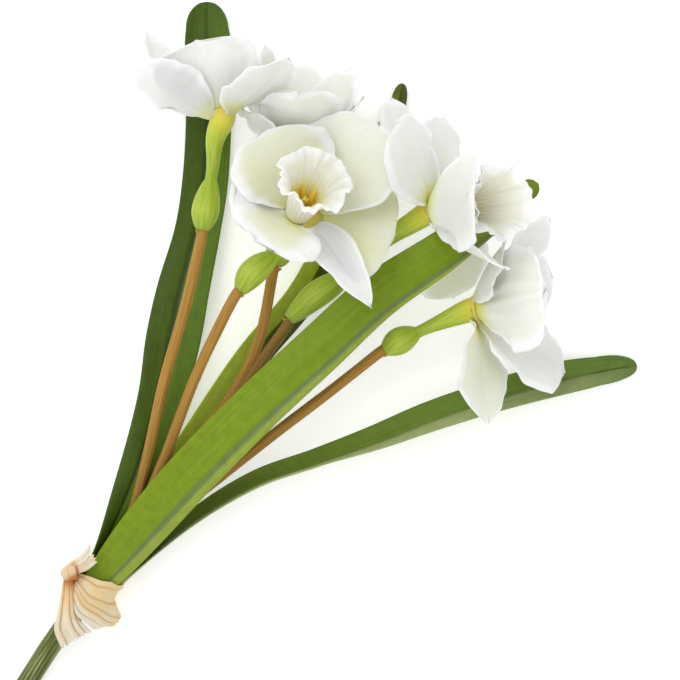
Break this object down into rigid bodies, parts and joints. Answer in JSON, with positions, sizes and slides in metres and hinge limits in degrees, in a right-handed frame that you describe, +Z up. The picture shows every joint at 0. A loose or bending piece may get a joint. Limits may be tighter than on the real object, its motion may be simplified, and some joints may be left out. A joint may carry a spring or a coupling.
{
  "type": "daffodil bunch",
  "caption": "Raffia-tied bunch of white trumpet daffodils with strap leaves, lying on its side on a surface.",
  "frame": {"origin": "bottom centre of the bunch's box, on the surface that it lies on", "axes": "+X along the bunch from its cut stem to its flowers, +Z up"},
  "size_m": [0.3012, 0.2406, 0.088],
  "materials": {
    "petals": "matt white petal, faintly veined",
    "trumpets": "matt cream petal, pleated and ruffled",
    "stamens": "powdery orange",
    "tubes": "satin yellow-green",
    "pedicels": "satin brown, striated",
    "leaves": "satin green, fibrous",
    "scape": "satin dark green, striated",
    "raffia": "dry matt fibre, pleated"
  },
  "bodies": {
    "root": {"left_flower_tepal_1": "petals", "left_flower_tepal_2": "petals", "left_flower_tepal_3": "petals", "left_flower_tepal_4": "petals", "left_flower_tepal_5": "petals", "left_flower_tepal_6": "petals", "left_flower_corona": "trumpets", "left_flower_stamens": "stamens", "left_flower_tube": "tubes", "left_flower_pedicel": "pedicels", "front_flower_tepal_1": "petals", "front_flower_tepal_2": "petals", "front_flower_tepal_3": "petals", "front_flower_tepal_4": "petals", "front_flower_tepal_5": "petals", "front_flower_tepal_6": "petals", "front_flower_corona": "trumpets", "front_flower_stamens": "stamens", "front_flower_tube": "tubes", "front_flower_pedicel": "pedicels", "back_flower_tepal_1": "petals", "back_flower_tepal_2": "petals", "back_flower_tepal_3": "petals", "back_flower_tepal_4": "petals", "back_flower_tepal_5": "petals", "back_flower_tepal_6": "petals", "back_flower_corona": "trumpets", "back_flower_stamens": "stamens", "back_flower_tube": "tubes", "back_flower_pedicel": "pedicels", "middle_flower_tepal_1": "petals", "middle_flower_tepal_2": "petals", "middle_flower_tepal_3": "petals", "middle_flower_tepal_4": "petals", "middle_flower_tepal_5": "petals", "middle_flower_tepal_6": "petals", "middle_flower_corona": "trumpets", "middle_flower_stamens": "stamens", "middle_flower_tube": "tubes", "middle_flower_pedicel": "pedicels", "right_flower_tepal_1": "petals", "right_flower_tepal_2": "petals", "right_flower_tepal_3": "petals", "right_flower_tepal_4": "petals", "right_flower_tepal_5": "petals", "right_flower_tepal_6": "petals", "right_flower_corona": "trumpets", "right_flower_stamens": "stamens", "right_flower_tube": "tubes", "right_flower_pedicel": "pedicels", "left_leaf": "leaves", "front_leaf": "leaves", "right_leaf": "leaves", "inner_leaf": "leaves", "scape": "scape", "raffia_band": "raffia", "raffia_tail": "raffia", "raffia_knot": "raffia", "raffia_stub_long": "raffia", "raffia_stub_short": "raffia"}
  },
  "joints": []
}
